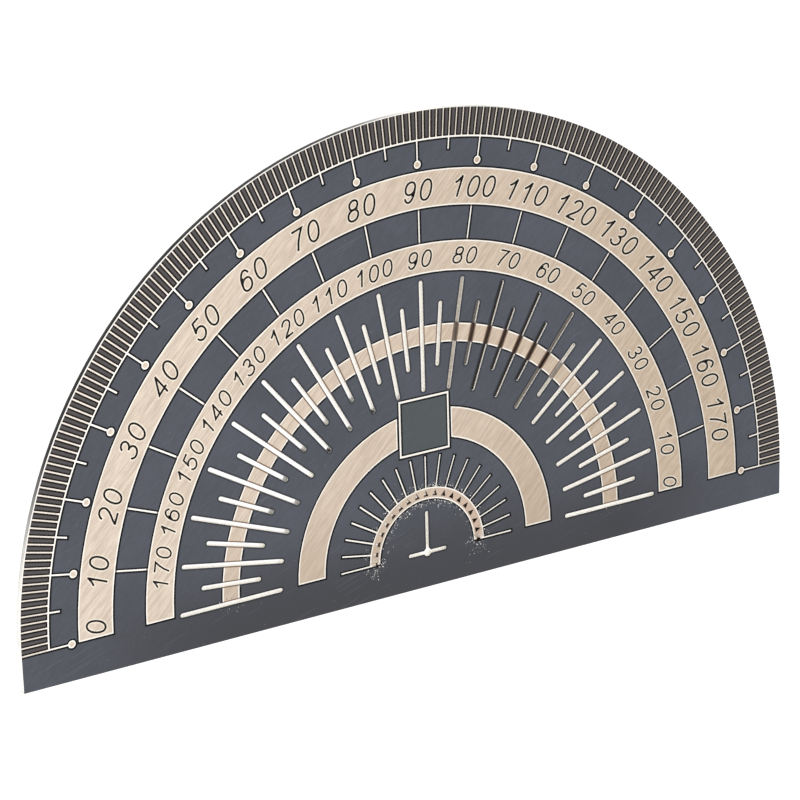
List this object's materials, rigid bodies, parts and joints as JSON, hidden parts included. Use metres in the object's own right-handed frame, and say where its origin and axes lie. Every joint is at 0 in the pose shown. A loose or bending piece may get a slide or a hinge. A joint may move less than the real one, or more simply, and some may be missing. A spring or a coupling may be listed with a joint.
{
  "type": "protractor",
  "caption": "Half-round flat steel protractor with a dark coated face, two opposed degree scales, radial marking slots and a slotted centre mark.",
  "frame": {"origin": "the scale centre, where the 0-180 and 90 degree lines meet, on the plate's back face", "axes": "+Y towards the 90 degree mark, +X towards the right end of the 0-180 line, +Z out of the graduated face; the plate lies on its back face"},
  "size_m": [0.2, 0.1082, 0.0019],
  "materials": {
    "brushed_steel": "brushed stainless, slightly warm",
    "coating": "thin satin slate-grey film",
    "panel_film": "thin satin grey-green film",
    "numeral_film": "thin dark film"
  },
  "bodies": {
    "root": {"steel_plate": "brushed_steel", "main_coating": "coating", "rim_coating_cells": "coating", "ring_coating_cells": "coating", "panel_coating": "panel_film", "outer_numerals": "numeral_film", "inner_numerals": "numeral_film"}
  },
  "joints": []
}
